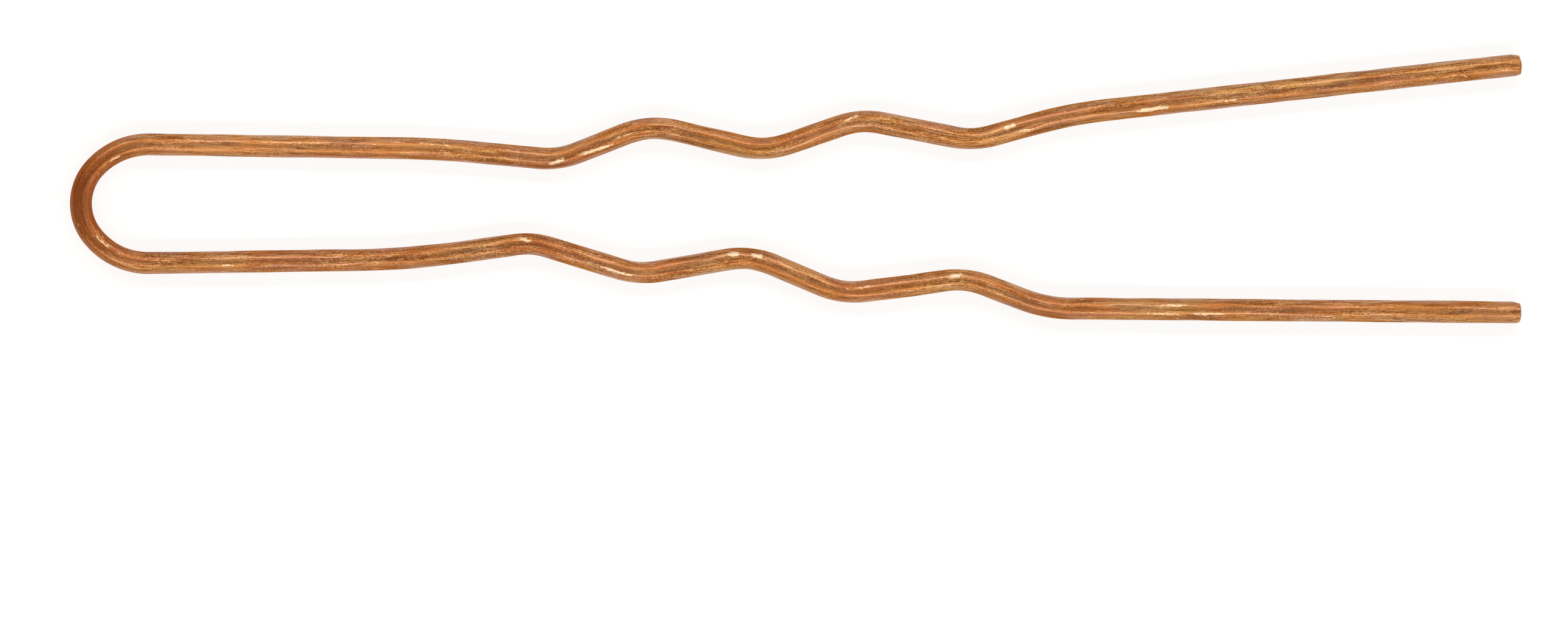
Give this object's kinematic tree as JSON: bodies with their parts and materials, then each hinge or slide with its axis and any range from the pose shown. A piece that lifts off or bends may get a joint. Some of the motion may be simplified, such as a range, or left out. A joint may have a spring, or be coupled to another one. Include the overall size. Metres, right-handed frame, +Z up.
{
  "type": "hairpin",
  "caption": "Open U-shaped hairpin of round copper-coloured wire with a rounded bow and waved legs that spring apart and together to grip hair.",
  "frame": {"origin": "centre of the pin's outline, on the table that it lies flat on", "axes": "+X from the bow to the tips, +Y towards the upper leg, +Z up from the table through the wire's thickness"},
  "size_m": [0.07, 0.013, 0.0011],
  "materials": {
    "copper_lacquer": "worn copper-coloured lacquer on drawn steel wire, satin gloss with lengthwise streaks"
  },
  "bodies": {
    "bow": {"bow": "copper_lacquer"},
    "upper_shank": {"upper_shank": "copper_lacquer"},
    "upper_waves": {"upper_waves": "copper_lacquer"},
    "upper_prong": {"upper_prong": "copper_lacquer"},
    "lower_shank": {"lower_shank": "copper_lacquer"},
    "lower_waves": {"lower_waves": "copper_lacquer"},
    "lower_prong": {"lower_prong": "copper_lacquer"}
  },
  "joints": [
    {"name": "upper_leg_flex", "type": "hinge", "parent": "bow", "child": "upper_shank", "pos_m": [-0.03014, 0.00211, 0.00053], "axis": [0, 0, 1], "range_deg": [-2.1, 4], "stiffness_Nm_per_rad": 0.906},
    {"name": "upper_waves_flex", "type": "hinge", "parent": "upper_shank", "child": "upper_waves", "pos_m": [-0.014, 0.0016, 0.00053], "axis": [0, 0, 1], "range_deg": [-2.52, 4.8], "stiffness_Nm_per_rad": 0.568},
    {"name": "upper_prong_flex", "type": "hinge", "parent": "upper_waves", "child": "upper_prong", "pos_m": [0.01614, 0.0039, 0.00053], "axis": [0, 0, 1], "range_deg": [-1.39, 2.64], "stiffness_Nm_per_rad": 0.398},
    {"name": "lower_leg_flex", "type": "hinge", "parent": "bow", "child": "lower_shank", "pos_m": [-0.03015, -0.00359, 0.00053], "axis": [0, 0, -1], "range_deg": [-2.1, 4], "stiffness_Nm_per_rad": 0.925},
    {"name": "lower_waves_flex", "type": "hinge", "parent": "lower_shank", "child": "lower_waves", "pos_m": [-0.01465, -0.00287, 0.00053], "axis": [0, 0, -1], "range_deg": [-2.52, 4.8], "stiffness_Nm_per_rad": 0.589},
    {"name": "lower_prong_flex", "type": "hinge", "parent": "lower_waves", "child": "lower_prong", "pos_m": [0.01429, -0.00581, 0.00053], "axis": [0, 0, -1], "range_deg": [-1.51, 2.88], "stiffness_Nm_per_rad": 0.408}
  ]
}
